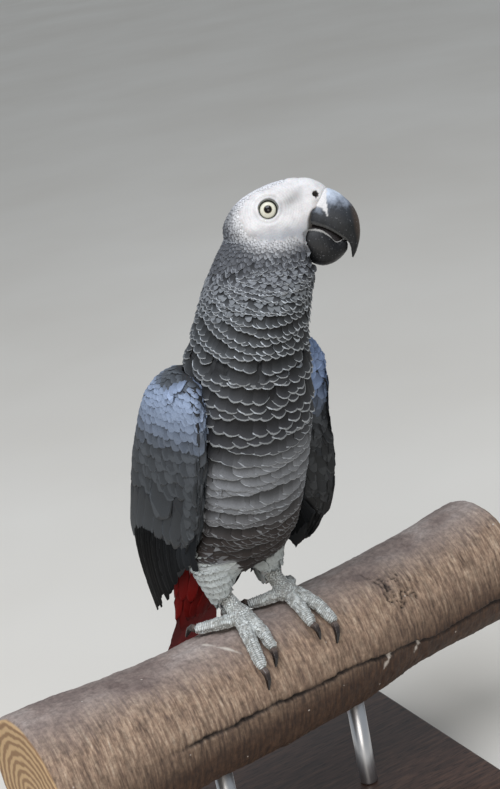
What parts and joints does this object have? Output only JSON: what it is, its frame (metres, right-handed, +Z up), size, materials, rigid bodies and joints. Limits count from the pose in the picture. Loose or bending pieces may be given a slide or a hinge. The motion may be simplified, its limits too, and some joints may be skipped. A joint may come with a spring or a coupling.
{
  "type": "grey parrot on a perch with a display stand",
  "caption": "Life-size grey parrot gripping a short cut branch, head turned to its left, red tail behind, on a flat base with short rods.",
  "frame": {"origin": "middle of the display base's underside", "axes": "+Z up, -Y the way the bird's body roughly faces, +X towards the bird's left; the branch runs roughly along X"},
  "size_m": [0.3061, 0.1644, 0.3675],
  "materials": {
    "bark": "weathered, fine cracks",
    "base_wood": "satin oiled",
    "rod_steel": "brushed",
    "bill_horn": "horn, satin with a pale bloom",
    "eyes": "wet and glossy, pale yellow iris",
    "bare_skin": "matt, powdery",
    "grey_feathers": "matt plumage with pale edges",
    "flight_feathers": "smooth vanes",
    "red_feathers": "smooth vanes",
    "leg_feathers": "soft down",
    "foot_skin": "granular scales",
    "claw_horn": "horn, satin"
  },
  "bodies": {
    "root": {"perch": "bark", "stand_base": "base_wood", "stand_rod_right": "rod_steel", "stand_rod_left": "rod_steel", "bill_upper": "bill_horn", "bill_lower": "bill_horn", "eye_right": "eyes", "eye_left": "eyes", "head": "bare_skin", "cere": "bare_skin", "neck": "grey_feathers", "breast": "grey_feathers", "back": "grey_feathers", "belly": "grey_feathers", "rump": "red_feathers", "tail": "red_feathers", "wing_right_coverts": "grey_feathers", "wing_right_secondaries": "flight_feathers", "wing_right_primaries": "flight_feathers", "leg_right_thigh": "leg_feathers", "leg_right_shank": "foot_skin", "foot_right_toe_1": "foot_skin", "foot_right_claw_1": "claw_horn", "foot_right_toe_2": "foot_skin", "foot_right_claw_2": "claw_horn", "foot_right_toe_3": "foot_skin", "foot_right_claw_3": "claw_horn", "foot_right_toe_4": "foot_skin", "foot_right_claw_4": "claw_horn", "wing_left_coverts": "grey_feathers", "wing_left_secondaries": "flight_feathers", "wing_left_primaries": "flight_feathers", "leg_left_thigh": "leg_feathers", "leg_left_shank": "foot_skin", "foot_left_toe_1": "foot_skin", "foot_left_claw_1": "claw_horn", "foot_left_toe_2": "foot_skin", "foot_left_claw_2": "claw_horn", "foot_left_toe_3": "foot_skin", "foot_left_claw_3": "claw_horn", "foot_left_toe_4": "foot_skin", "foot_left_claw_4": "claw_horn"}
  },
  "joints": []
}
